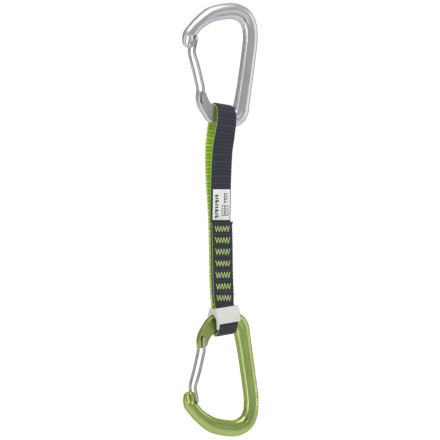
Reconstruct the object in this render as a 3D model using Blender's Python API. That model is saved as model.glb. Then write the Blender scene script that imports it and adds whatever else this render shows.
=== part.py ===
"""Climbing quickdraw: two wire-gate carabiners joined by a sewn webbing sling.

Row frame: origin on the seat at the top of the upper carabiner's eye, +Z up, carabiners flat in
the XZ plane with their gates towards -X, webbing faces towards -Y (front) and +Y (back).
All the dimensions below are in millimetres.
"""
import math

import bmesh
import bpy
from mathutils import Matrix, Vector

MM = 0.001

# Carabiner bar, from the nose over the big basket, down the spine and round to the tang:
# centreline x, z, width in the plane of the carabiner, thickness across it.
BAR = [
    (-36.2, -22.6, 3.0, 3.2), (-36.0, -20.8, 7.8, 5.6), (-35.8, -17.6, 10.2, 7.0),
    (-35.0, -13.6, 10.8, 7.8), (-32.2, -9.6, 10.2, 8.2), (-26.8, -4.0, 10.2, 9.0),
    (-15.4, 3.3, 12.2, 10.0), (0.0, 6.4, 12.8, 10.0), (8.4, 5.2, 13.0, 10.0),
    (14.2, 1.4, 12.8, 9.8), (17.2, -4.4, 12.2, 9.6), (18.1, -10.0, 11.8, 9.5),
    (17.8, -20.0, 11.8, 9.5), (13.6, -48.0, 11.9, 9.5), (11.2, -62.0, 12.4, 9.7),
    (10.2, -67.5, 12.9, 9.9), (9.0, -72.8, 13.4, 10.0), (6.0, -76.8, 13.2, 10.0),
    (1.8, -77.9, 13.0, 10.0), (-6.8, -76.7, 13.0, 10.0), (-15.2, -75.75, 12.2, 10.0),
    (-19.0, -72.2, 11.0, 9.6), (-22.8, -67.2, 10.2, 9.2), (-24.6, -62.4, 9.2, 8.8),
    (-24.8, -59.0, 6.8, 8.2), (-24.6, -57.2, 2.4, 4.0),
]
BAR_STEPS = 3               # sections between two stations
SECTION_POINTS = 28         # points round one section

# Groove forged into both flat faces: first station, last station, place across, half width, depth
GROOVE = (5.5, 17.5, 1.9, 1.7, 0.9)
POCKET_STATION = 9.4        # the groove deepens here, at the corner above the spine
POCKET_DEPTH = 1.1

# Nose and tang
NOSE_POCKET = (-35.9, -16.2, 4.4, 9.0)      # centre x, z, width, height of the side pockets
NOSE_POCKET_FLOOR = 2.6                     # half thickness left between the side pockets
WIRE_SEAT = (-29.9, -15.0)                  # notch behind the nose that takes the gate's end
WIRE_SEAT_R = 1.75
HINGE = (-25.7, -65.0)                      # gate hinge axis, along Y
TANG_FLAT = 3.6                             # half thickness of the tang under the gate's legs
HINGE_HOLE_R = 1.5
HINGE_HOLE_END = 0.9                        # the two blind holes stop this far from the middle

# Gate: steel wire, one leg on each side, x, half spacing, z from the hinge to the nose
WIRE_R = 1.15
GATE_LEG = [
    (-25.6, 5.2, -58.5), (-25.7, 5.2, -54.0), (-27.3, 5.2, -47.6), (-29.1, 5.2, -40.5),
    (-31.1, 5.0, -33.0), (-32.2, 4.6, -28.4), (-32.2, 4.3, -25.6), (-31.4, 4.5, -22.2),
    (-30.4, 4.5, -18.4), (-29.9, 3.9, -16.2),
]
GATE_END = [(-29.8, 2.6, -15.2), (-29.8, 0.0, -15.0)]

# Sling: webbing strip, its width along X
SLING_X = -6.3              # middle of the webbing
MIRROR_Z = -157.0           # the lower carabiner is the upper one turned over about this height
WEB_WIDTH = 16.0
PLY = 2.7
LEAN = math.tan(math.radians(7.6))          # slope of both bars, which the folds follow
BAR_Z = -76.76              # middle of the upper bar at SLING_X
LOOP_HALF = 7.75            # half spacing of the plies beside a bar, to the middle of the ply
LOOP_RISE = 8.95            # bar middle to the middle of the ply at a fold
SPLIT_Z = -120.0            # the sling twists here
SPLIT_GAP = 0.3
BACK_PLY = [(7.75, -84.0), (6.8, -97.0), (5.6, -114.0), (4.4, -131.0), (3.4, -146.0), (3.0, -158.0)]
FRONT_PLY = [(-7.75, -84.0), (-6.7, -97.0), (-5.1, -116.0), (-3.5, -131.0), (-1.7, -146.0),
             (-0.3, -156.0), (0.0, -162.0)]
STITCH_TOP = -158.6
STITCH_END = -221.6
STACK_Y = 3.0               # middle of the outer plies in the sewn part
LOWER_SPREAD = [(3.0, -222.0), (3.4, -226.0), (4.8, -229.2), (6.3, -231.5), (7.4, -233.9)]

# Label, keeper and stitches
LABEL = (15.0, 24.0, 0.6, -133.4)           # width, height, thickness, top edge
KEEPER_HALF_WIDTH = 10.0
KEEPER_WALL = 1.4
KEEPER_TOP = 12.0
KEEPER_EAR = -4.2
KEEPER_NOTCH = 7.4
TACK_ROWS = 7
TACK_PITCH = 9.0
TACK_FIRST_Z = -164.2
TACK_WIDTH = 13.6
TACK_HEIGHT = 4.6
TACK_TEETH = 8
THREAD_R = 0.32

COLOURS = {
    "silver_anodised": ((0.72, 0.73, 0.75), 1.0, 0.28),
    "green_anodised": ((0.30, 0.52, 0.06), 1.0, 0.30),
    "gate_steel": ((0.60, 0.60, 0.60), 1.0, 0.25),
    "webbing": ((0.018, 0.024, 0.055), 0.0, 0.9),
    "label": ((0.86, 0.86, 0.84), 0.0, 0.7),
    "keeper_rubber": ((0.80, 0.81, 0.80), 0.0, 0.6),
    "thread": ((0.42, 0.72, 0.10), 0.0, 0.8),
}


# ---------------------------------------------------------------- helpers
def collection(name):
    """A collection linked to the scene."""
    made = bpy.data.collections.new(name)
    bpy.context.scene.collection.children.link(made)
    return made


def material(name, own):
    """A plain Principled material of its own for one node."""
    colour, metal, rough = COLOURS[name]
    made = bpy.data.materials.new(own)
    made.use_nodes = True
    made.diffuse_color = (*colour, 1.0)
    shader = made.node_tree.nodes["Principled BSDF"]
    shader.inputs["Base Color"].default_value = (*colour, 1.0)
    shader.inputs["Metallic"].default_value = metal
    shader.inputs["Roughness"].default_value = rough
    return made


def curve_through(points, steps):
    """Catmull-Rom curve through the points, with the given steps between two of them."""
    out = []
    last = len(points) - 1
    for i in range(last):
        a, b = points[max(i - 1, 0)], points[i]
        c, d = points[i + 1], points[min(i + 2, last)]
        for k in range(steps):
            t = k / steps
            out.append(tuple(
                0.5 * (2 * q + (r - p) * t + (2 * p - 5 * q + 4 * r - s) * t * t
                       + (3 * q - p - 3 * r + s) * t ** 3)
                for p, q, r, s in zip(a, b, c, d)))
    out.append(tuple(points[last]))
    return out


def blend(value, low, high):
    """0 at low, 1 at high, smooth between them."""
    t = min(max((value - low) / (high - low), 0.0), 1.0)
    return t * t * (3 - 2 * t)


def mesh_object(name, verts, faces, target, look, turn=None):
    """A mesh object from millimetre points."""
    mesh = bpy.data.meshes.new(name)
    points = [Vector(v) * MM for v in verts]
    if turn is not None:
        points = [turn @ p for p in points]
    mesh.from_pydata(points, [], faces)
    bm = bmesh.new()
    bm.from_mesh(mesh)
    bmesh.ops.recalc_face_normals(bm, faces=bm.faces)
    bm.to_mesh(mesh)
    bm.free()
    obj = bpy.data.objects.new(name, mesh)
    target.objects.link(obj)
    if look:
        mesh.materials.append(material(look, name + "_look"))
    return obj


def rings_to_faces(count, size):
    """Side and end faces of a tube made of rings."""
    faces = []
    for i in range(count - 1):
        for j in range(size):
            k = (j + 1) % size
            faces.append((i * size + j, i * size + k, (i + 1) * size + k, (i + 1) * size + j))
    faces.append(tuple(range(size)))
    faces.append(tuple(range((count - 1) * size, count * size)))
    return faces


def cutter(name, verts, faces, turn):
    """A hidden solid that only cuts."""
    obj = mesh_object(name, verts, faces, CUTTERS, None, turn)
    obj.hide_render = True
    obj.display_type = "WIRE"
    return obj


def box_cutter(name, low, high, turn):
    """A box between two corners."""
    verts = [(x, y, z) for x in (low[0], high[0]) for y in (low[1], high[1]) for z in (low[2], high[2])]
    faces = [(0, 1, 3, 2), (4, 6, 7, 5), (0, 4, 5, 1), (2, 3, 7, 6), (0, 2, 6, 4), (1, 5, 7, 3)]
    return cutter(name, verts, faces, turn)


def rod_cutter(name, centre, radii, span, turn, count=24):
    """A rod along Y with an oval section: radii across X and Z."""
    verts = []
    for y in span:
        for k in range(count):
            a = 2 * math.pi * (k + 0.5) / count
            verts.append((centre[0] + radii[0] * math.cos(a), y, centre[1] + radii[1] * math.sin(a)))
    return cutter(name, verts, rings_to_faces(2, count), turn)


def cut(obj, tools):
    """Subtract the cutters one after the other."""
    for tool in tools:
        mod = obj.modifiers.new(tool.name, "BOOLEAN")
        mod.operation = "DIFFERENCE"
        mod.solver = "EXACT"
        mod.object = tool


def smooth(obj, angle=40):
    """Smooth shading with sharp edges kept."""
    obj.data.shade_smooth()
    obj.data.set_sharp_from_angle(angle=math.radians(angle))


def move_origin(obj, point):
    """Put the object's origin on its joint axis without moving the solid."""
    place = Vector(point) * MM
    obj.data.transform(Matrix.Translation(-place))
    obj.location = place


# ---------------------------------------------------------------- carabiners
def bar_section(station, place, side, width, thick):
    """One ring of the bar: an oval with a groove in both faces."""
    first, last, across, half, depth = GROOVE
    strength = depth * blend(station, first, first + 2.5) * (1 - blend(station, last - 2.5, last))
    strength += POCKET_DEPTH * math.exp(-((station - POCKET_STATION) / 0.9) ** 2)
    ring = []
    for k in range(SECTION_POINTS):
        a = 2 * math.pi * k / SECTION_POINTS
        c, s = math.cos(a), math.sin(a)
        u = math.copysign(abs(c) ** 0.92, c) * width / 2
        v = math.copysign(abs(s) ** 0.84, s) * thick / 2
        v -= math.copysign(strength * math.exp(-((u - across) / half) ** 2) * abs(s), v)
        ring.append((place[0] + side[0] * u, v, place[1] + side[1] * u))
    return ring


def carabiner_body(name, look, turn):
    """Forged body, cut for the nose, the wire seat and the hinge."""
    stations = curve_through(BAR, BAR_STEPS)
    verts = []
    for i, (x, z, width, thick) in enumerate(stations):
        before, after = stations[max(i - 1, 0)], stations[min(i + 1, len(stations) - 1)]
        run = Vector((after[0] - before[0], after[1] - before[1])).normalized()
        verts += bar_section(i / BAR_STEPS, (x, z), (run.y, -run.x), width, thick)
    faces = rings_to_faces(len(stations), SECTION_POINTS)
    body = mesh_object(name, verts, faces, PARTS, look, turn)
    tools = []
    px, pz, pw, ph = NOSE_POCKET
    hx, hz = HINGE
    for tag, s in (("front", -1), ("back", 1)):
        tools.append(rod_cutter(f"{name}_nose_pocket_{tag}", (px, pz), (pw / 2, ph / 2),
                                (s * NOSE_POCKET_FLOOR, s * 9), turn))
        tools.append(box_cutter(f"{name}_tang_flat_{tag}", (-28.2, min(s * TANG_FLAT, s * 9), -68.6),
                                (-12.0, max(s * TANG_FLAT, s * 9), -50.0), turn))
        tools.append(rod_cutter(f"{name}_hinge_hole_{tag}", (hx, hz), (HINGE_HOLE_R, HINGE_HOLE_R),
                                (s * HINGE_HOLE_END, s * 9), turn))
    tools.append(rod_cutter(f"{name}_wire_seat", WIRE_SEAT, (WIRE_SEAT_R, WIRE_SEAT_R), (-9, 9), turn))
    cut(body, tools)
    smooth(body)
    return body


def gate_points():
    """The gate's wire from one hinge end, round the nose, to the other."""
    hx, hz = HINGE
    leg = [(hx, 1.7, hz), (hx, 3.6, hz), (hx, 4.7, hz + 0.4), (hx, 5.2, hz + 1.6)]
    leg += curve_through(GATE_LEG, 1)
    leg += [GATE_END[0]]
    back = [(x, y, z) for x, y, z in leg]
    front = [(x, -y, z) for x, y, z in reversed(leg)]
    return back + [GATE_END[1]] + front


def wire_gate(name, turn):
    """Bent wire gate with its origin on the hinge axis."""
    origin = turn @ (Vector((HINGE[0], 0, HINGE[1])) * MM)
    data = bpy.data.curves.new(name, "CURVE")
    data.dimensions = "3D"
    spline = data.splines.new("POLY")
    points = [turn @ (Vector(p) * MM) - origin for p in gate_points()]
    spline.points.add(len(points) - 1)
    for target, p in zip(spline.points, points):
        target.co = (*p, 1.0)
    data.bevel_depth = WIRE_R * MM
    data.bevel_resolution = 2
    data.use_fill_caps = True
    data.materials.append(material("gate_steel", name + "_look"))
    obj = bpy.data.objects.new(name, data)
    obj.location = origin
    PARTS.objects.link(obj)
    return obj


# ---------------------------------------------------------------- sling
def fold_shear(z):
    """How much the webbing follows the slope of the bars at this height."""
    top = -LEAN * blend(z, -112.0, -86.0)
    low = 2 * MIRROR_Z - z
    bottom = LEAN * blend(low, -100.0, -88.0)
    return top + bottom


def strip(name, path, width, thick, look):
    """Flat strip swept along a path of (y, z), its width along X."""
    verts = []
    for i, (y, z) in enumerate(path):
        before, after = path[max(i - 1, 0)], path[min(i + 1, len(path) - 1)]
        run = Vector((after[0] - before[0], after[1] - before[1])).normalized()
        shear = fold_shear(z)
        for side, off in ((-1, -1), (1, -1), (1, 1), (-1, 1)):
            x = side * width / 2
            verts.append((SLING_X + x, y - run.y * off * thick / 2,
                          z + run.x * off * thick / 2 + x * shear))
    return mesh_object(name, verts, rings_to_faces(len(path), 4), PARTS, look)


def fold(centre_z, up):
    """Half turn round a bar, from +Y to -Y."""
    steps = 12
    return [(LOOP_HALF * math.cos(math.pi * k / steps),
             centre_z + up * LOOP_RISE * math.sin(math.pi * k / steps)) for k in range(steps + 1)]


def at_height(points, z):
    """The y of a ply at height z."""
    path = curve_through(points, 12)
    return min(path, key=lambda p: abs(p[1] - z))[0]


def ply_between(points, low, high):
    """Part of a ply's path between two heights, listed from the top down."""
    inside = [p for p in curve_through(points, 2) if low + 0.8 < p[1] < high - 0.8]
    top = [(at_height(points, high), high)] if high < points[0][1] else []
    end = [(at_height(points, low), low)] if low > points[-1][1] else []
    return top + inside + end


def sling():
    """Upper loop, lower main strip and the tail that ends between the sewn plies."""
    over = fold(BAR_Z, 1)
    back = ply_between(BACK_PLY, SPLIT_Z + SPLIT_GAP / 2, 0)
    front = ply_between(FRONT_PLY, SPLIT_Z + SPLIT_GAP / 2, 0)
    upper = strip("sling_upper_loop", list(reversed(back)) + over + front, WEB_WIDTH, PLY, "webbing")
    bar = 2 * MIRROR_Z - BAR_Z
    spread = curve_through(LOWER_SPREAD, 2)
    under = [(-y, z) for y, z in fold(bar, -1)]
    path = [(-STACK_Y, STITCH_TOP), (-STACK_Y, -190.0)] + [(-y, z) for y, z in spread]
    path += under + list(reversed(spread)) + [(STACK_Y, -190.0), (STACK_Y, -161.0)]
    path += list(reversed(ply_between(BACK_PLY, -158.5, SPLIT_Z - SPLIT_GAP / 2)))
    lower = strip("sling_lower_strip", path, WEB_WIDTH, PLY, "webbing")
    tail_path = ply_between(FRONT_PLY, -163.0, SPLIT_Z - SPLIT_GAP / 2) + [(0.0, -190.0), (0.0, STITCH_END)]
    tail = strip("sling_inner_tail", tail_path, WEB_WIDTH, PLY, "webbing")
    return upper, lower, tail


def label_tag():
    """Woven tag lying on the front ply, just above the seam."""
    width, height, thick, top = LABEL
    offset = PLY / 2 + thick / 2 + 0.06
    path = []
    for y, z in ply_between(FRONT_PLY, top - height, top):
        path.append((y - offset, z))
    return strip("label_tag", path, width, thick, "label")


def tack(name, z, side):
    """One bar tack: a zigzag of thread across the webbing."""
    data = bpy.data.curves.new(name, "CURVE")
    data.dimensions = "3D"
    spline = data.splines.new("POLY")
    count = 2 * TACK_TEETH + 1
    spline.points.add(count - 1)
    y = side * (STACK_Y + PLY / 2 + THREAD_R + 0.06)
    for k, target in enumerate(spline.points):
        x = SLING_X - TACK_WIDTH / 2 + TACK_WIDTH * k / (count - 1)
        rise = TACK_HEIGHT / 2 * (-1 if k % 2 else 1)
        target.co = (x * MM, y * MM, (z + rise) * MM, 1.0)
    data.bevel_depth = THREAD_R * MM
    data.bevel_resolution = 1
    data.use_fill_caps = True
    data.materials.append(material("thread", name + "_look"))
    obj = bpy.data.objects.new(name, data)
    PARTS.objects.link(obj)


def keeper():
    """Rubber keeper: a collar round the plies with two ears that straddle the lower bar."""
    bar = 2 * MIRROR_Z - BAR_Z
    turn = Matrix(((1, 0, 0, SLING_X * MM), (0, 1, 0, 0), (LEAN, 0, 1, bar * MM), (0, 0, 0, 1)))
    levels = [(KEEPER_TOP, 5.6), (8.2, 7.6), (5.6, 9.0), (2.8, 9.5), (0.0, 9.5), (KEEPER_EAR, 9.5)]
    ring = 24

    def shell(name, grow, low, high, corner):
        verts = []
        for z, half in [(high, levels[0][1])] + levels[1:-1] + [(low, levels[-1][1])]:
            w, d = KEEPER_HALF_WIDTH - KEEPER_WALL + grow, half + grow
            for k in range(ring):
                a = 2 * math.pi * (k + 0.5) / ring
                c, s = math.cos(a), math.sin(a)
                verts.append((math.copysign(abs(c) ** corner, c) * w, math.copysign(abs(s) ** corner, s) * d, z))
        return verts, rings_to_faces(len(levels), ring)

    verts, faces = shell("outer", KEEPER_WALL, KEEPER_EAR, KEEPER_TOP, 0.2)
    obj = mesh_object("keeper", verts, faces, PARTS, "keeper_rubber", turn)
    verts, faces = shell("inner", 0.0, KEEPER_EAR - 2, KEEPER_TOP + 2, 0.06)
    room = cutter("keeper_room", verts, faces, turn)
    window = box_cutter("keeper_window", (-8.3, -14, KEEPER_EAR - 3), (8.3, 14, 0.0), turn)
    verts = []
    for x in (-14.0, 14.0):
        for k in range(24):
            a = 2 * math.pi * (k + 0.5) / 24
            verts.append((x, KEEPER_NOTCH * math.cos(a), KEEPER_NOTCH * math.sin(a)))
    notch = cutter("keeper_notch", verts, rings_to_faces(2, 24), turn)
    gap = box_cutter("keeper_gap", (-14, -KEEPER_NOTCH * 0.98, -12), (14, KEEPER_NOTCH * 0.98, 0), turn)
    cut(obj, [room, window, notch, gap])
    smooth(obj)
    return obj


# ---------------------------------------------------------------- build
for old in list(bpy.data.objects):
    bpy.data.objects.remove(old, do_unlink=True)

PARTS = collection("quickdraw")
CUTTERS = collection("cutters")

UPRIGHT = Matrix.Identity(4)
TURNED = Matrix.Translation((0, 0, 2 * MIRROR_Z * MM)) @ Matrix.Rotation(math.pi, 4, "X")

carabiner_body("top_carabiner_body", "silver_anodised", UPRIGHT)
wire_gate("top_gate_wire", UPRIGHT)
carabiner_body("bottom_carabiner_body", "green_anodised", TURNED)
wire_gate("bottom_gate_wire", TURNED)
sling()
label_tag()
keeper()
for row in range(TACK_ROWS):
    height = TACK_FIRST_Z - TACK_PITCH * row
    tack(f"bar_tack_front_{row + 1}", height, -1)
    tack(f"bar_tack_back_{row + 1}", height, 1)
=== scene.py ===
"""Looks of the climbing quickdraw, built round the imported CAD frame.

Every size below is in millimetres in the row frame, unless its name says otherwise.
"""
import math
import random

import bpy
import numpy as np
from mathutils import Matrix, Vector


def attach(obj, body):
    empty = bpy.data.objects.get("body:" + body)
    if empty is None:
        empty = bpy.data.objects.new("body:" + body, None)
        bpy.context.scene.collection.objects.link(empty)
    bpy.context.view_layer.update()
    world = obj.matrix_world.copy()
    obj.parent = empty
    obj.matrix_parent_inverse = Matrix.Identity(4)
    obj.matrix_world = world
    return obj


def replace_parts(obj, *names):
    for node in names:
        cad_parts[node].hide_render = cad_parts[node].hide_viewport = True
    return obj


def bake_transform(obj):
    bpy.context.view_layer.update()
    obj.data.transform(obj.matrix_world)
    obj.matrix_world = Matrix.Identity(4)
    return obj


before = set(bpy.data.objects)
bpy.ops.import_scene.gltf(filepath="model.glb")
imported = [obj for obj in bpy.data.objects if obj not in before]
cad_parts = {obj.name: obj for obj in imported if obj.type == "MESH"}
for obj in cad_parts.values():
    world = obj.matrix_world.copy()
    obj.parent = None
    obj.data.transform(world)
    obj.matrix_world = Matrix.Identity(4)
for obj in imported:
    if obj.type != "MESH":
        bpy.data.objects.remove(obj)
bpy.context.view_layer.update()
MM = 0.001

# ---------------------------------------------------------------- driving dimensions
# Carabiner bar: centreline x, z, width in the plane, thickness across it, nose to tang.
# A station is a place on this list, and 2.5 is halfway between its third and fourth rows.
BAR = [
    (-36.0, -23.8, 8.2, 6.0), (-35.8, -21.8, 9.4, 6.4), (-35.5, -17.8, 11.0, 7.0),
    (-34.9, -13.6, 11.0, 7.8), (-32.2, -9.6, 10.2, 8.2), (-26.8, -4.0, 10.2, 9.0),
    (-15.4, 3.3, 12.2, 10.0), (0.0, 6.4, 12.8, 10.0), (8.4, 5.2, 13.0, 10.0),
    (14.2, 1.4, 12.8, 9.8), (17.2, -4.4, 12.2, 9.6), (18.1, -10.0, 11.8, 9.5),
    (17.8, -20.0, 11.8, 9.5), (13.6, -48.0, 11.9, 9.5), (11.2, -62.0, 12.4, 9.7),
    (10.2, -67.5, 12.9, 9.9), (9.0, -72.8, 13.4, 10.0), (6.0, -76.8, 13.2, 10.0),
    (1.8, -77.9, 13.0, 10.0), (-6.8, -76.7, 13.0, 10.0), (-15.2, -75.75, 12.2, 10.0),
    (-19.0, -72.2, 11.0, 9.6), (-22.8, -67.2, 10.2, 9.2), (-24.6, -62.4, 9.2, 8.8),
    (-24.8, -59.0, 8.0, 8.2), (-24.8, -56.9, 7.4, 7.4),
]
NOSE_END, TANG_END = 3.4, 3.0   # how far the rounded ends run back along the bar
END_LEAST = 0.06                # the ends' last ring, as a share of the full section
SQUARE_WIDE, SQUARE_THICK = 0.92, 0.84          # powers that square the section off a little
RING = 96                       # points round the bar
STEP_COARSE, STEP_FINE = 0.9, 0.32              # length of the mesh's steps along the bar
FINE_STATIONS = ((0.0, 4.6), (8.5, 10.2), (20.0, 25.0))

GROOVE_STATIONS = (4.6, 18.6)
GROOVE_FADE = (2.2, 1.0)        # stations that the groove takes to start and to end
GROOVE_STEP = (-1.3, 1.7)       # across: outer lip of the groove to its floor
GROOVE_RAMP = (2.0, 4.2)        # across: floor back up to the inner edge
GROOVE_DEPTH = 0.62
GROOVE_ROUND = 3.0              # half thickness below which the groove fades out
# Pockets: x, z, half width, half height, half thickness left, tilt, height of the ridge in the middle
NOSE_POCKET = (-37.0, -18.3, 2.8, 4.7, 1.2, math.radians(-4), 1.0)
CORNER_POCKET = (12.4, -1.1, 0.9, 2.9, 1.2, math.radians(38), 0.0)
POCKET_WALL = (0.74, 1.12)      # share of the pocket's outline where its wall stands
POCKET_FLARE = 0.25             # the pocket is this much wider at its upper end
RIDGE_FLANK = (0.1, 0.7)        # the ridge's flanks, as shares of the half width
FLOOR_RISE, FLOOR_RAMP = 1.4, (-0.6, 0.9)       # the floor climbs towards the upper end
WIRE_SEAT = (-31.0, -15.0, 1.75)                # x, z, radius
SEAT_STATIONS = 5
HINGE = (-25.7, -65.0)
HINGE_HOLE_R = 1.6
HINGE_HOLE_EDGE = (-0.25, 0.15)
HINGE_HOLE_FLOOR = 1.4          # half thickness left between the two blind holes
TANG_RIM = 1.3
TANG_WALL = 0.5
TANG_HALF = 2.6
TANG_STATIONS = (18.8, 19.8)
# Laser ticks on the lower spine, in the bar's across and along coordinates
MARK_BAND, MARK_STRETCH = (-4.7, -1.9), (80.0, 108.0)
TICK_WAVE, GAP_WAVE = 3.1, 0.62                 # radians per mm

# Wires and threads
OFF_AXIS = (0.3, 0.2, 0.9)      # any direction that no wire starts along
END_BULGE = 0.3                 # in radii
WIRE_STEP, WIRE_SIDES, THREAD_SIDES = 0.5, 20, 10

# Gate wire: one leg's x, y, z from its hinge end to the nose
WIRE_R = 1.15
GATE_LEG = [
    (-25.7, 1.7, -65.0), (-25.7, 3.4, -65.0), (-25.7, 4.7, -64.6), (-25.7, 5.2, -63.4),
    (-25.6, 5.2, -58.5), (-25.7, 5.2, -54.0), (-27.3, 5.2, -47.6), (-29.1, 5.2, -40.5),
    (-31.4, 5.0, -33.0), (-32.8, 4.7, -28.4), (-33.0, 4.6, -25.6), (-32.4, 4.7, -22.2),
    (-31.5, 4.7, -18.4), (-31.0, 4.0, -16.2), (-30.9, 2.6, -15.2),
]
GATE_TOP = (-30.9, 0.0, -15.0)

# Sling: the plies' middle lines in y, z
SLING_X = -6.3
MIRROR_Z = -157.0               # the lower carabiner is the upper one turned over about here
WEB_WIDTH = 17.0
PLY = 2.7
LEAN = math.tan(math.radians(7.6))              # slope of the bars that the folds lie on
LEAN_TOP, LEAN_FOOT = (-112.0, -86.0), (-100.0, -88.0)      # where the webbing takes up the slope
BAR_Z = -76.76
LOOP_HALF = 7.75
LOOP_RISE = 8.95
BACK_PLY = [(7.75, -84.0), (6.8, -97.0), (5.6, -114.0), (4.4, -131.0), (3.4, -146.0), (3.0, -158.0)]
FRONT_PLY = [(-7.75, -84.0), (-6.7, -97.0), (-5.1, -116.0), (-3.5, -131.0), (-1.7, -146.0),
             (-0.3, -156.0), (0.0, -162.0)]
LOWER_SPREAD = [(3.0, -222.0), (3.4, -226.0), (4.8, -229.2), (6.3, -231.5), (7.4, -233.9)]
STITCH_TOP, STITCH_MIDDLE, STITCH_END = -158.6, -190.0, -221.6
BACK_FOOT = -161.0              # where the back ply comes straight
STACK_Y = 3.0                   # from the middle ply to the outer ones
BOW = [(-62.0, 0.0), (-80.0, -0.4), (-92.0, -2.0), (-104.0, -3.5), (-126.0, -3.7), (-150.0, -2.8),
       (-170.0, -2.1), (-200.0, -1.7), (-222.0, -0.7), (-236.0, 0.6), (-250.0, 0.8)]     # z, sideways drift
WIDTHS = [(-62.0, 16.2), (-84.0, 16.6), (-96.0, 17.6), (-215.0, 17.6), (-224.0, 16.4),
          (-250.0, 16.3)]       # z, width
FACE_POINTS = 22                # points across each face of the webbing
STRIP_STEP = 0.4                # length of the mesh's steps along the webbing and the label
RIB, RIB_DEPTH = 2.8, 0.3       # pitch and depth of the weave's ribs along the webbing
RIB_POWER = 2.4
RIB_SWELL = 0.12                # how far the edges swell with each rib
EDGE_THICK = 0.55               # thickness at the webbing's edges, as a share of the middle's
EDGE_ROUND = 0.25
LAP_FLARE, LAP_RUN = 0.7, (2.6, 0.4)            # the heat-cut end is this much wider, over this run

LABEL = (15.0, 24.0, 0.45, -133.4)              # width, height, thickness, z of the top
LABEL_POINTS = 14
LABEL_GAP = 0.04                # between the label and the webbing
PRINT_BARS = (2.0, 1.2, 2.6, 1.4, 1.8, 2.4, 1.2, 2.2)
PRINT_LINES = (1.5, 1.1, 1.8, 1.3)
PRINT_FRAMES = ((0.2, 2.9), (3.3, 6.0))         # left and right of each printed frame
PRINT_FRAME_DROP = (12.4, 20.6)                 # from the label's top to the frames' top and foot
PRINT_WALL = 0.5
PRINT_RAISED, PRINT_SUNK, PRINT_STEP = 0.035, 0.02, 0.6

TACK_ROWS, TACK_PITCH, TACK_FIRST_Z = 7, 9.0, -164.2
TACK_WIDTH, TACK_HEIGHT, TACK_TEETH = 12.4, 4.6, 5
TACK_SHIFT = -0.7
THREAD_R = 0.31
THREAD_DIP = 0.45               # how deep the thread goes at a needle hole
THREAD_WANDER = (0.12, 0.22)    # how far a needle hole strays, across and along

# Keeper: heights are above the lower bar's middle
KEEPER_HALF_WIDTH = 9.5         # to the middle of the wall
KEEPER_WALL = 1.4
KEEPER_CORNER = 2.2
KEEPER_TOP = 12.0
KEEPER_EAR = -4.2
KEEPER_EAR_FROM = (8.6, 9.4)    # sideways: the ear's blend into the band
KEEPER_NOTCH = 7.4
KEEPER_DEPTHS = [(12.0, 6.3), (8.2, 8.3), (5.6, 9.7), (2.8, 10.2), (-6.0, 10.2)]   # height, half depth
KEEPER_ROWS = 14
KEEPER_EDGE = 0.35

CAMERA_AZIMUTH = math.radians(-27.0)
CAMERA_ROLL = math.radians(-0.15)
VIEW_HEIGHT = 343.8             # what the picture's height covers at the object
VIEW_CENTRE = (-8.85, 0.0, -157.3)
LENS, SENSOR = 200.0, 36.0
FLOOR_Z, FLOOR_RADIUS, FLOOR_GLOW, FLOOR_SIDES = -1000.0, 6500.0, 0.25, 96
ROOM_DIM, ROOM_TOP = 0.40, 0.60                 # radiance of the walls and of the ceiling
BACKDROP_LEVEL = 1.06
BACKDROPS = [((0.25, 0.968, 0.0), 0.86, 0.93), ((-1.0, 0.0, 0.0), 0.96, 0.985)]    # direction, edge
BACKDROP_TOP, BACKDROP_FOOT = (0.105, 0.16), (-0.30, -0.20)
LIGHTS = [                      # name, place from the view centre (m), radiance, width, height (m)
    ("key_strip", (-1.25, -1.15, -0.05), 3.6, 0.42, 1.1),
    ("top_front", (-0.2, -1.0, 1.5), 2.6, 1.4, 1.2),
    ("fill_right", (1.5, -0.6, 0.3), 0.9, 1.2, 1.4),
    ("rim_back", (0.9, 1.3, 1.1), 1.5, 1.0, 1.0),
]


# ---------------------------------------------------------------- curves
def spline(points, positions):
    """Catmull-Rom curve through the points, at the given positions (0 to count - 1)."""
    pts = np.array(points, float)
    last = len(pts) - 1
    out = []
    for p in positions:
        i = min(int(p), last - 1)
        t = p - i
        a, b = pts[max(i - 1, 0)], pts[i]
        c, d = pts[i + 1], pts[min(i + 2, last)]
        out.append(0.5 * (2 * b + (c - a) * t + (2 * a - 5 * b + 4 * c - d) * t * t
                          + (3 * b - a - 3 * c + d) * t ** 3))
    return np.array(out)


def dense(points, per_span=24):
    """Catmull-Rom curve with even steps between the points."""
    return spline(points, np.linspace(0, len(points) - 1, per_span * (len(points) - 1) + 1))


def resample(points, step):
    """Points every step along a polyline."""
    pts = np.array(points, float)
    run = np.concatenate([[0], np.cumsum(np.linalg.norm(np.diff(pts, axis=0), axis=1))])
    count = max(int(round(run[-1] / step)), 2)
    at = np.linspace(0, run[-1], count + 1)
    return np.stack([np.interp(at, run, pts[:, k]) for k in range(pts.shape[1])], 1), at


def smooth01(value, low, high):
    """0 at low, 1 at high, smooth between; low may be above high."""
    t = np.clip((np.asarray(value, float) - low) / (high - low), 0, 1)
    return t * t * (3 - 2 * t)


def eased(table, z):
    """Smooth reading of a (z, value) table."""
    zs = [-p[0] for p in table]
    place = np.interp(-z, zs, np.arange(len(zs)))
    return spline([(v, 0.0) for _, v in table], [float(place)])[0][0]


def sling_centre(z):
    """x of the middle of the webbing, which hangs with a slight bow."""
    return SLING_X + eased(BOW, z)


def turned_over(points):
    """The lower carabiner's place for points of the upper one."""
    out = np.array(points, float)
    out[..., 1] = -out[..., 1]
    out[..., 2] = 2 * MIRROR_Z - out[..., 2]
    return out


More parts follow.
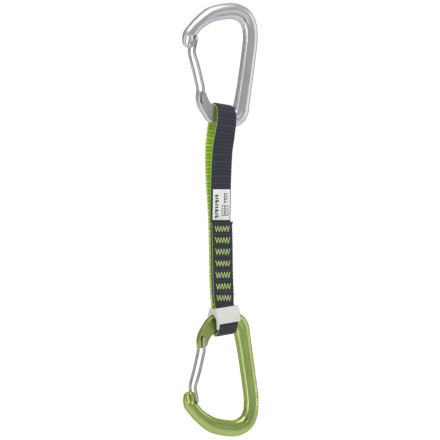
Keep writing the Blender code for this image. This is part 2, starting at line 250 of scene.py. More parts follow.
# ---------------------------------------------------------------- meshes
def mesh_object(name, verts, faces, material, attributes=None):
    """A smooth mesh object from millimetre points, with vector attributes if any are given."""
    mesh = bpy.data.meshes.new(name)
    mesh.from_pydata((np.array(verts) * MM).tolist(), [], faces)
    mesh.update()
    for key, values in (attributes or {}).items():
        layer = mesh.attributes.new(key, "FLOAT_VECTOR", "POINT")
        layer.data.foreach_set("vector", np.array(values, np.float32).ravel())
    mesh.shade_smooth()
    mesh.materials.append(material)
    obj = bpy.data.objects.new(name, mesh)
    bpy.context.scene.collection.objects.link(obj)
    return obj


def tube_faces(rings, size, caps=True):
    """Quads between rings of points, with fans closing the two ends on extra centre points."""
    faces = []
    for i in range(rings - 1):
        for j in range(size):
            k = (j + 1) % size
            faces.append((i * size + j, i * size + k, (i + 1) * size + k, (i + 1) * size + j))
    if caps:
        start, end = rings * size, rings * size + 1
        for j in range(size):
            k = (j + 1) % size
            faces.append((start, k, j))
            faces.append((end, (rings - 1) * size + j, (rings - 1) * size + k))
    return faces


def tube(path, radius, size):
    """Vertices and faces of a round wire along a path of 3-D points."""
    path = np.array(path, float)
    tangents = np.gradient(path, axis=0)
    tangents /= np.linalg.norm(tangents, axis=1)[:, None]
    side = np.cross(tangents[0], OFF_AXIS)
    verts = []
    angles = 2 * np.pi * np.arange(size) / size
    for p, t in zip(path, tangents):
        side = side - t * np.dot(side, t)
        side /= np.linalg.norm(side)
        up = np.cross(t, side)
        verts.append(p + radius * (np.cos(angles)[:, None] * side + np.sin(angles)[:, None] * up))
    verts = np.concatenate(verts + [path[:1] - tangents[:1] * radius * END_BULGE,
                                    path[-1:] + tangents[-1:] * radius * END_BULGE])
    return verts, tube_faces(len(path), size)


# ---------------------------------------------------------------- node helpers
class Nodes:
    """Short calls for building one material's node tree."""

    def __init__(self, name):
        self.material = bpy.data.materials.new(name)
        self.material.use_nodes = True
        self.tree = self.material.node_tree
        self.shader = self.tree.nodes["Principled BSDF"]

    def add(self, kind, **values):
        node = self.tree.nodes.new(kind)
        for key, value in values.items():
            setattr(node, key, value)
        return node

    def link(self, source, target):
        self.tree.links.new(source, target)

    def feed(self, socket, value):
        """Link another node's output to the socket, or set the socket to a number or a colour."""
        if isinstance(value, bpy.types.NodeSocket):
            self.link(value, socket)
        elif isinstance(value, tuple) and len(socket.default_value) == 4:
            socket.default_value = (*value, 1.0)
        else:
            socket.default_value = value

    def math(self, operation, *inputs):
        node = self.add("ShaderNodeMath", operation=operation)
        for socket, value in zip(node.inputs, inputs):
            self.feed(socket, value)
        return node.outputs[0]

    def noise(self, scale, detail=3.0, vector=None, rough=0.55):
        node = self.add("ShaderNodeTexNoise")
        node.inputs["Scale"].default_value = scale
        node.inputs["Detail"].default_value = detail
        node.inputs["Roughness"].default_value = rough
        if vector is not None:
            self.link(vector, node.inputs["Vector"])
        return node.outputs["Fac"]

    def between(self, value, limits):
        """1 where the value lies between the two limits, else 0."""
        return self.math("MULTIPLY", self.math("GREATER_THAN", value, limits[0]),
                         self.math("LESS_THAN", value, limits[1]))

    def product(self, *factors):
        """The factors multiplied together."""
        total = factors[0]
        for factor in factors[1:]:
            total = self.math("MULTIPLY", total, factor)
        return total

    def wave(self, value, pitch):
        """Sine of the value, at so many radians a millimetre."""
        return self.math("SINE", self.math("MULTIPLY", value, pitch))

    def span(self, value, low, high, to_low=0.0, to_high=1.0):
        """Straight-line change from one range to another."""
        node = self.add("ShaderNodeMapRange")
        for key, number in zip(("Value", "From Min", "From Max", "To Min", "To Max"),
                               (value, low, high, to_low, to_high)):
            self.feed(node.inputs[key], number)
        return node.outputs["Result"]

    def mix(self, factor, first, second):
        node = self.add("ShaderNodeMix", data_type="RGBA")
        self.feed(node.inputs["Factor"], factor)
        for socket, value in ((node.inputs["A"], first), (node.inputs["B"], second)):
            self.feed(socket, value)
        return node.outputs["Result"]

    def object_point(self):
        return self.add("ShaderNodeTexCoord").outputs["Object"]

    def stretched(self, vector, scale):
        node = self.add("ShaderNodeMapping")
        self.link(vector, node.inputs["Vector"])
        node.inputs["Scale"].default_value = scale
        return node.outputs["Vector"]

    def attribute(self, name):
        """The mesh's vector attribute, whole and as its three parts."""
        source = self.add("ShaderNodeAttribute", attribute_name=name)
        parts = self.add("ShaderNodeSeparateXYZ")
        self.link(source.outputs["Vector"], parts.inputs[0])
        return source.outputs["Vector"], parts.outputs

    def bump(self, height, distance_m, strength=1.0, normal=None):
        node = self.add("ShaderNodeBump")
        node.inputs["Strength"].default_value = strength
        node.inputs["Distance"].default_value = distance_m
        self.link(height, node.inputs["Height"])
        if normal is not None:
            self.link(normal, node.inputs["Normal"])
        return node.outputs["Normal"]

    def set(self, **values):
        for key, value in values.items():
            self.feed(self.shader.inputs[key.replace("_", " ")], value)
        return self.material


# ---------------------------------------------------------------- materials
def anodised(name, light, dark, edge, marks=False):
    """Forged, tumbled and anodised aluminium with faint dimples; marks adds the laser ticks."""
    n = Nodes(name)
    place = n.object_point()
    cloud = n.noise(90.0, 4.0, place)
    grain = n.noise(2600.0, 2.0, place)
    dimples = n.noise(420.0, 3.0, place)
    colour = n.mix(n.span(cloud, 0.3, 0.7), dark, light)
    rough = n.span(dimples, 0.25, 0.75, 0.29, 0.36)
    if marks:
        _, (across, along, face) = n.attribute("bar")
        ticks = n.math("GREATER_THAN", n.wave(along, TICK_WAVE), 0.25)
        groups = n.math("GREATER_THAN", n.wave(along, GAP_WAVE), -0.45)
        front = n.math("GREATER_THAN", face, 0.35)
        worn = n.math("GREATER_THAN", n.noise(900.0, 1.0, place), 0.46)
        area = n.product(n.between(across, MARK_BAND), n.between(along, MARK_STRETCH), front)
        mark = n.product(area, ticks, groups, worn)
        colour = n.mix(n.math("MULTIPLY", mark, 0.9), colour, (0.85, 0.90, 0.72))
        rough = n.math("ADD", rough, n.math("MULTIPLY", mark, 0.15))
    normal = n.bump(dimples, 0.00003, 0.3)
    normal = n.bump(grain, 0.00001, 0.4, normal)
    return n.set(Base_Color=colour, Metallic=1.0, Roughness=rough, Specular_Tint=edge, Normal=normal)


def drawn_wire():
    """Bright steel wire with faint lines drawn along it."""
    n = Nodes("gate_wire_steel")
    place = n.object_point()
    lines = n.noise(1.0, 2.0, n.stretched(place, (5200.0, 5200.0, 260.0)))
    stain = n.noise(160.0, 3.0, place)
    colour = n.mix(n.span(stain, 0.3, 0.7), (0.36, 0.345, 0.335), (0.50, 0.48, 0.465))
    return n.set(Base_Color=colour, Metallic=1.0, Roughness=n.span(lines, 0.2, 0.8, 0.20, 0.36),
                 Normal=n.bump(lines, 0.00003, 0.5))


def weave_height(n, parts, yarn_pitch):
    """Pillow-like yarn floats in rows, every second row set over by half a yarn."""
    row = n.math("DIVIDE", parts[1], RIB)
    along = n.math("SUBTRACT", n.math("MULTIPLY", n.math("FRACT", row), 2.0), 1.0)
    shift = n.math("FRACT", n.math("MULTIPLY", n.math("FLOOR", row), 0.5))
    yarn = n.math("FRACT", n.math("ADD", n.math("DIVIDE", parts[0], yarn_pitch), shift))
    across = n.math("SUBTRACT", n.math("MULTIPLY", yarn, 2.0), 1.0)
    dome = n.math("SUBTRACT", 1.0, n.math("POWER", n.math("ABSOLUTE", along), RIB_POWER))
    fall = n.math("MULTIPLY", n.math("POWER", n.math("ABSOLUTE", across), 2.0), 0.55)
    return n.math("MULTIPLY", dome, n.math("SUBTRACT", 1.0, fall))


def webbing_face(name, valley_shade_and_dark_rows, crest, fleck, yarn_pitch):
    """Woven nylon face: ribs of yarn floats with painted shade in the valleys between them, fine fibres,
    uneven dye.
    """
    n = Nodes(name)
    vector, parts = n.attribute("strip")
    height = weave_height(n, parts, yarn_pitch)
    fibres = n.noise(1.0, 3.0, n.stretched(vector, (9.0, 1.6, 1.0)))
    cloud = n.noise(0.12, 3.0, vector)
    # Darker where the weave is low: painted shade in the hollows between the yarn floats
    base = n.mix(n.span(height, 0.1, 0.85), valley_shade_and_dark_rows, crest)
    base = n.mix(n.math("MULTIPLY", n.span(fibres, 0.5, 0.8), 0.35), base, fleck)
    # Every second rib pair is pulled unevenly towards the same dark colour: a row pattern and uneven dye
    pairs = n.wave(parts[1], math.pi / RIB)
    base = n.mix(n.span(n.math("ADD", pairs, cloud), 0.2, 1.4, 0.0, 0.28), base, valley_shade_and_dark_rows)
    total = n.math("ADD", height, n.math("MULTIPLY", fibres, 0.35))
    return n.set(Base_Color=base, Roughness=n.span(fibres, 0.2, 0.8, 0.55, 0.8), Sheen_Weight=0.12,
                 Sheen_Roughness=0.4, Normal=n.bump(total, 0.00022, 0.8))


def selvedge():
    """Woven edge: dark at the outer face, pale and lime loops with dark binder yarn further in."""
    n = Nodes("webbing_selvedge")
    vector, parts = n.attribute("strip")
    wave = n.wave(parts[1], 4 * math.pi / RIB)
    fibres = n.noise(1.0, 3.0, n.stretched(vector, (6.0, 4.0, 6.0)))
    shown = n.span(n.math("ADD", wave, n.math("MULTIPLY", fibres, 1.2)), -0.6, 0.3)
    lime = n.mix(shown, (0.050, 0.10, 0.030), (0.52, 0.76, 0.10))
    pale = n.mix(shown, (0.16, 0.26, 0.05), (0.70, 0.78, 0.38))
    colour = n.mix(n.span(parts[2], -0.1, 0.35), lime, pale)
    colour = n.mix(n.span(parts[2], -0.55, -0.3, 1.0, 0.0), colour, (0.030, 0.035, 0.050))
    return n.set(Base_Color=colour, Roughness=0.75, Sheen_Weight=0.2, Normal=n.bump(wave, 0.00015, 0.6))


def thread_look():
    """Twisted lime sewing thread."""
    n = Nodes("tack_thread")
    place = n.object_point()
    twist = n.noise(1.0, 2.0, n.stretched(place, (3800.0, 900.0, 1700.0)))
    colour = n.mix(n.span(twist, 0.3, 0.7), (0.30, 0.48, 0.07), (0.62, 0.80, 0.26))
    return n.set(Base_Color=colour, Roughness=0.55, Sheen_Weight=0.3, Normal=n.bump(twist, 0.00006, 0.8))


def label_cloth():
    """White satin ribbon: very fine weave, slightly soiled."""
    n = Nodes("label_satin")
    vector, parts = n.attribute("strip")
    weave = n.math("MULTIPLY", n.wave(parts[0], 22.0), n.wave(parts[1], 22.0))
    cloud = n.noise(0.25, 4.0, vector)
    colour = n.mix(n.span(cloud, 0.3, 0.7), (0.74, 0.75, 0.71), (0.88, 0.88, 0.86))
    return n.set(Base_Color=colour, Roughness=0.5, Sheen_Weight=0.3, Normal=n.bump(weave, 0.00003, 0.6))


def label_ink():
    """Dark print, a little uneven."""
    n = Nodes("label_ink")
    patches = n.noise(3000.0, 2.0, n.object_point())
    colour = n.mix(n.span(patches, 0.3, 0.75), (0.03, 0.032, 0.04), (0.12, 0.12, 0.13))
    return n.set(Base_Color=colour, Roughness=0.6)


def keeper_rubber():
    """Pale moulded rubber: matt, faintly mottled, with a fine moulded skin."""
    n = Nodes("keeper_white_rubber")
    place = n.object_point()
    cloud = n.noise(140.0, 4.0, place)
    skin = n.noise(2200.0, 3.0, place)
    colour = n.mix(n.span(cloud, 0.3, 0.7), (0.67, 0.655, 0.615), (0.73, 0.715, 0.68))
    return n.set(Base_Color=colour, Roughness=n.span(skin, 0.2, 0.8, 0.42, 0.6), Subsurface_Weight=0.08,
                 Subsurface_Radius=(0.002, 0.002, 0.002), Normal=n.bump(skin, 0.00004, 0.5))


# ---------------------------------------------------------------- carabiner body
def bar_stations():
    """Places along the bar, closer together at the nose and the tang."""
    fine = np.linspace(0, len(BAR) - 1, 2000)
    line = spline(BAR, fine)[:, :2]
    step = np.full(len(fine), STEP_COARSE)
    for low, high in FINE_STATIONS:
        step[(fine >= low) & (fine <= high)] = STEP_FINE
    length = np.concatenate([[0], np.cumsum(np.linalg.norm(np.diff(line, axis=0), axis=1))])
    count = np.concatenate([[0], np.cumsum(np.diff(length) / step[1:])])
    places = np.interp(np.linspace(0, count[-1], int(count[-1]) + 1), count, fine)
    return places, np.interp(places, fine, length)


def clip_half(v, limit, mask):
    """Pull the half thickness in to a limit where the mask is 1."""
    lowered = np.sign(v) * np.minimum(np.abs(v), limit)
    return v + (lowered - v) * mask


def cut_pocket(v, x, z, pocket):
    """Sink a leaf-shaped pocket with a ridge down its middle into both faces."""
    px, pz, half_w, half_h, left, tilt, ridge = pocket
    c, s = math.cos(tilt), math.sin(tilt)
    dx, dz = (x - px) * c + (z - pz) * s, (z - pz) * c - (x - px) * s
    r = np.hypot(dx / (half_w * (1 + POCKET_FLARE * np.clip(dz / half_h, -1, 1))), dz / half_h)
    spine = 1 - smooth01(np.abs(dx), RIDGE_FLANK[0] * half_w, RIDGE_FLANK[1] * half_w)
    climb = FLOOR_RISE * smooth01(dz, FLOOR_RAMP[0] * half_h, FLOOR_RAMP[1] * half_h)
    return clip_half(v, left + ridge * (spine + climb), 1 - smooth01(r, *POCKET_WALL))


def sculpt(u, v, point, station, width):
    """Forged details in the two faces: groove, nose and corner pockets, tang recess, hinge hole."""
    x, z = point[:, 0], point[:, 1]
    flat = np.clip(np.abs(v) / GROOVE_ROUND, 0, 1)
    shape = smooth01(u, *GROOVE_STEP) * (1 - 0.8 * smooth01(u, *GROOVE_RAMP))
    first, last = GROOVE_STATIONS
    fade = smooth01(station, first, first + GROOVE_FADE[0])
    fade *= 1 - smooth01(station, last - GROOVE_FADE[1], last)
    v = v - np.sign(v) * flat * shape * (GROOVE_DEPTH * fade)
    for pocket in (NOSE_POCKET, CORNER_POCKET):
        v = cut_pocket(v, x, z, pocket)
    rim = -width / 2 + TANG_RIM
    tang = smooth01(u, rim, rim + TANG_WALL) * smooth01(station, *TANG_STATIONS)
    v = clip_half(v, TANG_HALF, tang)
    from_hinge = np.hypot(x - HINGE[0], z - HINGE[1]) - HINGE_HOLE_R
    return clip_half(v, HINGE_HOLE_FLOOR, 1 - smooth01(from_hinge, *HINGE_HOLE_EDGE))


def seat_clip(u, centre, side):
    """Stop the section at the round seat behind the nose that takes the end of the gate."""
    dx, dz = centre[0] - WIRE_SEAT[0], centre[1] - WIRE_SEAT[1]
    b = dx * side[0] + dz * side[1]
    inside = b * b - (dx * dx + dz * dz - WIRE_SEAT[2] ** 2)
    if inside <= 0:
        return u
    reach = -b - math.sqrt(inside)
    return np.minimum(u, reach) if reach >= 1.0 else u


def bar_mesh():
    """Vertices, faces and the (across, along, face) attribute of the upper carabiner's body."""
    places, lengths = bar_stations()
    table = spline(BAR, places)
    tangents = np.gradient(table[:, :2], axis=0)
    tangents /= np.linalg.norm(tangents, axis=1)[:, None]
    angles = 2 * np.pi * (np.arange(RING) + 0.5) / RING
    cos, sin = np.cos(angles), np.sin(angles)
    wide = np.sign(cos) * np.abs(cos) ** SQUARE_WIDE
    deep = np.sign(sin) * np.abs(sin) ** SQUARE_THICK
    total = lengths[-1]
    verts, notes = [], []
    for station, length, row, t in zip(places, lengths, table, tangents):
        side = np.array((t[1], -t[0]))
        run_in = min(length / NOSE_END, (total - length) / TANG_END, 1)
        end = max(math.sqrt(1 - (1 - run_in) ** 2), END_LEAST)
        u = wide * row[2] / 2 * end
        v = deep * row[3] / 2 * end
        if station < SEAT_STATIONS:
            u = seat_clip(u, row[:2], side)
        point = row[:2] + u[:, None] * side
        v = sculpt(u, v, point, station, row[2])
        verts.append(np.stack([point[:, 0], v, point[:, 1]], 1))
        notes.append(np.stack([u, np.full(RING, length), -v / (row[3] / 2)], 1))
    ends = [np.array([[r[0] - t[0] * k, 0, r[1] - t[1] * k]])
            for r, t, k in ((table[0], tangents[0], 0.02), (table[-1], tangents[-1], -0.02))]
    notes += [np.zeros((1, 3)), np.zeros((1, 3))]
    return np.concatenate(verts + ends), tube_faces(len(places), RING), np.concatenate(notes)


def carabiners():
    """Both bodies, from one mesh."""
    verts, faces, notes = bar_mesh()
    silver = anodised("silver_anodised_forging", (0.67, 0.66, 0.68), (0.63, 0.62, 0.645),
                      (0.55, 0.55, 0.55))
    green = anodised("green_anodised_forging", (0.42, 0.52, 0.18), (0.37, 0.465, 0.145),
                     (0.5, 0.62, 0.25), marks=True)
    upper = mesh_object("upper_carabiner_forging", verts, faces, silver, {"bar": notes})
    lower_notes = notes * np.array((1, 1, -1))
    lower = mesh_object("lower_carabiner_forging", turned_over(verts), faces, green, {"bar": lower_notes})
    for obj, node, body, slot in ((upper, "top_carabiner_body", "upper_carabiner", "silver_anodised"),
                                  (lower, "bottom_carabiner_body", "lower_carabiner", "green_anodised")):
        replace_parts(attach(obj, body), node)


# ---------------------------------------------------------------- gates
def gates():
    """Both wire gates, from one bent wire."""
    points = GATE_LEG + [GATE_TOP] + [(x, -y, z) for x, y, z in reversed(GATE_LEG)]
    path, _ = resample(dense(points, 12), WIRE_STEP)
    look = drawn_wire()
    upper = ("upper_gate_bent_wire", path, "top_gate_wire", "upper_gate")
    lower = ("lower_gate_bent_wire", turned_over(path), "bottom_gate_wire", "lower_gate")
    for name, shape, node, body in (upper, lower):
        verts, faces = tube(shape, WIRE_R, WIRE_SIDES)
        obj = mesh_object(name, verts, faces, look)
        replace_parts(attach(obj, body), node)


# ---------------------------------------------------------------- sling
def fold_shear(z):
    """How far the webbing follows the slope of the bars at this height."""
    low = 2 * MIRROR_Z - z
    return LEAN * (smooth01(low, *LEAN_FOOT) - smooth01(z, *LEAN_TOP))


def half_turn(centre_z, up):
    """The fold round a bar, from +Y to -Y."""
    a = np.linspace(0, math.pi, 25)
    return np.stack([LOOP_HALF * np.cos(a), centre_z + up * LOOP_RISE * np.sin(a)], 1)


def sling_path():
    """The whole strip in (y, z): lapped end, lower fold, back ply, upper fold, front ply, inner end."""
    spread = dense(LOWER_SPREAD, 8)
    lower = half_turn(2 * MIRROR_Z - BAR_Z, -1)
    back = dense(BACK_PLY, 8)[::-1]
    front = dense(FRONT_PLY, 8)
    flip = np.array((-1, 1))
    parts = [[(-STACK_Y, STITCH_TOP), (-STACK_Y, STITCH_MIDDLE)], spread * flip, lower * flip, spread[::-1],
             [(STACK_Y, STITCH_MIDDLE), (STACK_Y, BACK_FOOT)], back, half_turn(BAR_Z, 1), front,
             [(0.0, STITCH_MIDDLE), (0.0, STITCH_END)]]
    return np.concatenate([np.array(p, float) for p in parts])


def strip_mesh(path, width, thick, face_points, rib_depth=0.0, lap_flare=0.0, widths=None):
    """A closed woven strip: vertices, faces, the (across, along, face) attribute, ring size, length."""
    line, along = resample(path, STRIP_STEP)
    run = np.gradient(line, axis=0)
    run /= np.linalg.norm(run, axis=1)[:, None]
    across = np.sin(np.linspace(-1, 1, face_points) * math.pi / 2) * 0.5
    dome = np.sqrt(1 - np.clip(np.abs(across * 2), 0, 1) ** 12)
    edge = np.linspace(-0.5, 0.5, 5)[1:-1]
    side = thick * EDGE_THICK * edge
    face = np.concatenate([-np.ones(face_points), 2 * edge, np.ones(face_points), -2 * edge])
    verts, notes = [], []
    for (y, z), t, s in zip(line, run, along):
        rib = 1 - abs(2 * ((s / RIB) % 1) - 1) ** RIB_POWER
        half = (eased(widths, z) if widths else width) / 2 + RIB_SWELL * math.sin(2 * math.pi * s / RIB)
        half += lap_flare * float(smooth01(s, *LAP_RUN))
        off = (thick / 2 - rib_depth + rib_depth * rib) * (EDGE_THICK + (1 - EDGE_THICK) * dome)
        x = across * (width - 2 * EDGE_ROUND) / width * 2 * half
        bulge = half - EDGE_ROUND + EDGE_ROUND * np.cos(edge * math.pi)
        ring_x = np.concatenate([x, bulge, x[::-1], -bulge])
        ring_n = np.concatenate([-off, side, off, -side])
        lift = z + t[0] * ring_n + ring_x * fold_shear(z)
        verts.append(np.stack([sling_centre(z) + ring_x, y - t[1] * ring_n, lift], 1))
        notes.append(np.stack([ring_x, np.full(len(ring_x), s), face], 1))
    size = len(verts[0])
    ends = [verts[0].mean(0)[None], verts[-1].mean(0)[None]]
    notes += [np.array([[0.0, along[0], 0.0]]), np.array([[0.0, along[-1], 0.0]])]
    return np.concatenate(verts + ends), tube_faces(len(line), size), np.concatenate(notes), size, along[-1]


def sling():
    """The webbing as one strip, navy outside and lime inside."""
    verts, faces, notes, size, length = strip_mesh(
        sling_path(), WEB_WIDTH, PLY, FACE_POINTS, RIB_DEPTH, LAP_FLARE, WIDTHS)
    # The first colour of each face is painted shade for the weave's valleys, and it also darkens every
    # second rib pair
    navy = webbing_face("webbing_navy_face", (0.006, 0.0065, 0.014), (0.028, 0.029, 0.054),
                        (0.06, 0.062, 0.10), 0.8)
    lime = webbing_face("webbing_lime_face", (0.10, 0.26, 0.008), (0.50, 0.78, 0.05),
                        (0.78, 0.86, 0.12), 1.7)
    obj = mesh_object("sling_webbing_strip", verts, faces, navy, {"strip": notes})
    obj.data.materials.append(lime)
    obj.data.materials.append(selvedge())
    slots = np.zeros(len(faces), np.int32)
    quads = len(faces) - 2 * size
    column = np.arange(quads) % size
    slots[:quads][(column >= FACE_POINTS - 1) & (column < FACE_POINTS + 3)] = 2
    slots[:quads][column >= 2 * FACE_POINTS + 2] = 2
    slots[:quads][(column >= FACE_POINTS + 3) & (column < 2 * FACE_POINTS + 2)] = 1
    slots[quads:] = 2
    obj.data.polygons.foreach_set("material_index", slots)
    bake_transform(obj)
    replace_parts(obj, "sling_upper_loop", "sling_lower_strip", "sling_inner_tail")


# ---------------------------------------------------------------- label
def label_line():
    """The label's path in (y, z), lying on the front ply."""
    _, height, thick, top = LABEL
    ply = dense(FRONT_PLY, 24)
    zs = np.linspace(top, top - height, 41)
    ys = np.interp(-zs, -ply[:, 1], ply[:, 0])
    return np.stack([ys - PLY / 2 - thick / 2 - LABEL_GAP, zs], 1)


def print_boxes():
    """Generic print as (left, right, low, high): rows of bars, short lines and two framed blocks."""
    top = LABEL[3]
    boxes = []
    z = top - 4.2
    for length in PRINT_BARS:
        boxes.append((-5.6, -2.8 + 0.4 * (length > 2), z - length * 0.6, z))
        left, right = (-4.2, -3.2) if length < 1.6 else (-5.6, -4.2)
        boxes.append((left, right, z - length, z - length * 0.5))
        z -= length + 0.5
    z = top - 3.2
    for length in PRINT_LINES:
        boxes.append((2.0, 5.2, z - length * 0.45, z))
        boxes.append((2.0, 3.1, z - length, z))
        z -= length + 0.6
    high, low = top - PRINT_FRAME_DROP[0], top - PRINT_FRAME_DROP[1]
    for left, right in PRINT_FRAMES:
        boxes += [(left, right, high - PRINT_WALL, high), (left, right, low, low + PRINT_WALL),
                  (left, left + PRINT_WALL, low, high), (right - PRINT_WALL, right, low, high)]
        for k in range(3):
            boxes.append((left + 0.8, right - 0.8, low + 2.0 + k * 1.6, low + 2.4 + k * 1.6))
    return boxes


def label_print(line):
    """Thin inked plates that follow the label's face."""
    thick = LABEL[2]
    verts, faces = [], []
    for x0, x1, z0, z1 in print_boxes():
        zs = np.linspace(z0, z1, max(int((z1 - z0) / PRINT_STEP), 1) + 1)
        ys = np.interp(-zs, -line[:, 1], line[:, 0]) - thick / 2
        base = len(verts)
        for y, zz in zip(ys, zs):
            mid = sling_centre(zz)
            verts += [(mid + x0, y - PRINT_RAISED, zz), (mid + x1, y - PRINT_RAISED, zz),
                      (mid + x1, y + PRINT_SUNK, zz), (mid + x0, y + PRINT_SUNK, zz)]
        rings = len(zs)
        for i in range(rings - 1):
            for j in range(4):
                k = (j + 1) % 4
                a, b = base + 4 * i, base + 4 * (i + 1)
                faces.append((a + j, a + k, b + k, b + j))
        faces.append((base + 3, base + 2, base + 1, base))
        faces.append(tuple(base + 4 * (rings - 1) + j for j in range(4)))
    return verts, faces


def label():
    """The sewn-in tag with its print."""
    width, height, thick, _ = LABEL
    line = label_line()
    verts, faces, notes, _, _ = strip_mesh(line, width, thick, LABEL_POINTS)
    tag = mesh_object("label_ribbon", verts, faces, label_cloth(), {"strip": notes})
    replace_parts(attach(tag, "sling_sewn"), "label_tag")
    verts, faces = label_print(line)
    ink = mesh_object("label_generic_print", verts, faces, label_ink())
    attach(ink, "sling_sewn")


# ---------------------------------------------------------------- stitches
def tack_path(z, side, random_source):
    """One zigzag of thread over the webbing, dipping into its needle holes."""
    count = 2 * TACK_TEETH
    surface = STACK_Y + PLY / 2
    ends = []
    for k in range(count + 1):
        x = sling_centre(z) + TACK_SHIFT - TACK_WIDTH / 2 + TACK_WIDTH * k / count
        rise = TACK_HEIGHT / 2 * (-1 if k % 2 else 1)
        stray = [random_source.uniform(-reach, reach) for reach in THREAD_WANDER]
        ends.append((x + stray[0], z + rise + stray[1]))
    points = []
    for (x0, z0), (x1, z1) in zip(ends, ends[1:]):
        for t in np.linspace(0, 1, 7)[:-1]:
            arch = math.sin(math.pi * t)
            lift = THREAD_R * (1.0 + 0.25 * arch) - THREAD_DIP * (1 - arch) ** 6
            points.append((x0 + (x1 - x0) * t, side * (surface + lift), z0 + (z1 - z0) * t))
    points.append((ends[-1][0], side * (surface + THREAD_R - THREAD_DIP), ends[-1][1]))
    return points


def stitches():
    """Bar tacks through all the plies, front and back."""
    look = thread_look()
    for row in range(TACK_ROWS):
        z = TACK_FIRST_Z - TACK_PITCH * row
        for tag, side in (("front", -1), ("back", 1)):
            source = random.Random(10 * row + side + 5)
            verts, faces = tube(tack_path(z, side, source), THREAD_R, THREAD_SIDES)
            obj = mesh_object(f"bar_tack_thread_{tag}_{row + 1}", verts, faces, look)
            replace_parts(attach(obj, "sling_sewn"), f"bar_tack_{tag}_{row + 1}")


# ---------------------------------------------------------------- keeper
def keeper_outline():
    """The collar as (x, y, kind): kind 0 on the front and back, 1 at the corners, 2 on the sides."""
    depth = KEEPER_DEPTHS[-1][1]
    straight, side = KEEPER_HALF_WIDTH - KEEPER_CORNER, depth - KEEPER_CORNER
    columns = [(x, -1.0, 0) for x in np.linspace(-straight, straight, 15)]
    for a in np.linspace(-math.pi / 2, 0, 7)[1:-1]:
        columns.append((straight + KEEPER_CORNER * math.cos(a), KEEPER_CORNER * math.sin(a) - side, 1))
    for y in np.concatenate([np.linspace(-side, -KEEPER_NOTCH, 3),
                             np.linspace(-KEEPER_NOTCH + 0.25, KEEPER_NOTCH - 0.25, 21),
                             np.linspace(KEEPER_NOTCH, side, 3)]):
        columns.append((KEEPER_HALF_WIDTH, y, 2))
    half = columns + [(x, -y, kind) for x, y, kind in reversed(columns[15:20])]
    return half + [(-x, -y, kind) for x, y, kind in half]


def keeper():
    """Rubber keeper: a collar on the plies whose ears straddle the lower bar."""
    loop = keeper_outline()
    depth = KEEPER_DEPTHS[-1][1]
    side = depth - KEEPER_CORNER
    centre_z = 2 * MIRROR_Z - BAR_Z
    levels = np.array(KEEPER_DEPTHS)[::-1]
    verts = []
    for r in range(KEEPER_ROWS + 1):
        for x, y, kind in loop:
            low = KEEPER_EAR * (kind > 0 and x * y > 0) * float(smooth01(abs(x), *KEEPER_EAR_FROM))
            if kind == 2 and abs(y) < KEEPER_NOTCH:
                low = math.sqrt(KEEPER_NOTCH ** 2 - y * y)
            z = KEEPER_TOP + (low - KEEPER_TOP) * r / KEEPER_ROWS
            local = float(np.interp(z, levels[:, 0], levels[:, 1]))
            if kind == 0:
                y = math.copysign(local, y)
            elif kind == 1:
                y = math.copysign(local - (depth - abs(y)), y)
            else:
                y = y * (local - KEEPER_CORNER) / side
            verts.append((sling_centre(centre_z) + x, y, centre_z + z + x * LEAN))
    faces = tube_faces(KEEPER_ROWS + 1, len(loop), caps=False)
    obj = mesh_object("keeper_moulded_band", verts, faces, keeper_rubber())
    wall = obj.modifiers.new("wall", "SOLIDIFY")
    wall.thickness = KEEPER_WALL * MM
    wall.offset = 0.0
    soft = obj.modifiers.new("edges", "BEVEL")
    soft.width = KEEPER_EDGE * MM
    soft.segments = 3
    soft.limit_method = "ANGLE"
    soft.angle_limit = math.radians(40)
    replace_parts(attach(obj, "sling_sewn"), "keeper")


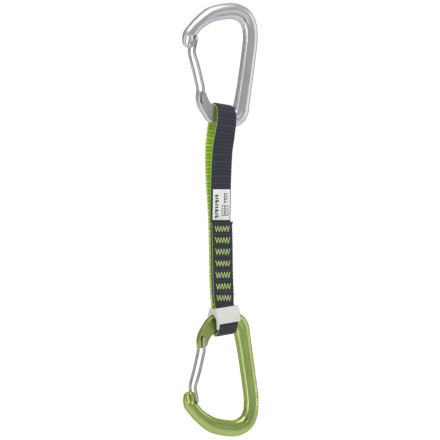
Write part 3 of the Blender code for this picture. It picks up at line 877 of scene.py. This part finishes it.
# ---------------------------------------------------------------- setting
def room():
    """Dim studio with a white backdrop behind the object; brighter overhead."""
    world = bpy.data.worlds.new("room")
    bpy.context.scene.world = world
    world.use_nodes = True
    tree = world.node_tree
    background = tree.nodes["Background"]

    def add(kind, **values):
        node = tree.nodes.new(kind)
        for key, value in values.items():
            setattr(node, key, value)
        return node

    def fade(value, limits, to_low=0.0, to_high=1.0):
        node = add("ShaderNodeMapRange", interpolation_type="SMOOTHSTEP")
        tree.links.new(value, node.inputs["Value"])
        for key, number in zip(("From Min", "From Max", "To Min", "To Max"), (*limits, to_low, to_high)):
            node.inputs[key].default_value = number
        return node.outputs["Result"]

    def combine(operation, first, second):
        node = add("ShaderNodeMath", operation=operation)
        tree.links.new(first, node.inputs[0])
        tree.links.new(second, node.inputs[1])
        return node.outputs[0]

    def towards(direction, low, high):
        dot = add("ShaderNodeVectorMath", operation="DOT_PRODUCT")
        tree.links.new(coordinate, dot.inputs[0])
        dot.inputs[1].default_value = direction
        return fade(dot.outputs["Value"], (low, high))

    coordinate = add("ShaderNodeTexCoord").outputs["Generated"]
    split = add("ShaderNodeSeparateXYZ")
    tree.links.new(coordinate, split.inputs[0])
    height = split.outputs["Z"]
    band = combine("MULTIPLY", fade(height, BACKDROP_TOP, 1.0, 0.0), fade(height, BACKDROP_FOOT))
    facing = combine("MAXIMUM", towards(*BACKDROPS[0]), towards(*BACKDROPS[1]))
    total = add("ShaderNodeMix", data_type="FLOAT")
    tree.links.new(combine("MULTIPLY", band, facing), total.inputs["Factor"])
    tree.links.new(fade(height, (0.1, 1.0), ROOM_DIM, ROOM_TOP), total.inputs["A"])
    total.inputs["B"].default_value = BACKDROP_LEVEL
    tree.links.new(total.outputs["Result"], background.inputs["Color"])
    background.inputs["Strength"].default_value = 1.0


def stage():
    """Pale floor and soft lights."""
    n = Nodes("stage_floor")
    pale = n.mix(n.noise(3.0, 2.0, n.object_point()), (0.80, 0.80, 0.80), (0.84, 0.84, 0.84))
    look = n.set(Base_Color=pale, Roughness=0.9, Emission_Color=(1.0, 1.0, 1.0),
                 Emission_Strength=FLOOR_GLOW)
    angles = 2 * np.pi * np.arange(FLOOR_SIDES) / FLOOR_SIDES
    verts = [(FLOOR_RADIUS * math.cos(a), FLOOR_RADIUS * math.sin(a), FLOOR_Z) for a in angles]
    disc = mesh_object("stage_floor_disc", verts, [tuple(range(FLOOR_SIDES))], look)
    centre = Vector(VIEW_CENTRE) * MM
    for name, offset, radiance, width, height in LIGHTS:
        light = bpy.data.lights.new(name, "AREA")
        light.shape = "RECTANGLE"
        light.size, light.size_y = width, height
        light.energy = radiance * math.pi * width * height
        obj = bpy.data.objects.new(name, light)
        obj.location = centre + Vector(offset)
        obj.rotation_euler = Vector(offset).to_track_quat("Z", "Y").to_euler()
        bpy.context.scene.collection.objects.link(obj)


def camera():
    """Long lens, a little to the left of the front."""
    data = bpy.data.cameras.new("camera")
    data.lens = LENS
    data.sensor_width = SENSOR
    data.clip_end = 50
    obj = bpy.data.objects.new("camera", data)
    distance = VIEW_HEIGHT / 2 / (SENSOR / 2 / LENS)
    back = Vector((math.sin(CAMERA_AZIMUTH), -math.cos(CAMERA_AZIMUTH), 0.0))
    obj.location = (Vector(VIEW_CENTRE) + back * distance) * MM
    obj.rotation_euler = (-back).to_track_quat("-Z", "Y").to_euler()
    obj.rotation_euler.rotate_axis("Z", CAMERA_ROLL)
    bpy.context.scene.collection.objects.link(obj)
    bpy.context.scene.camera = obj


carabiners()
gates()
sling()
label()
stitches()
keeper()
room()
stage()
camera()
bpy.context.scene.view_settings.view_transform = "Standard"
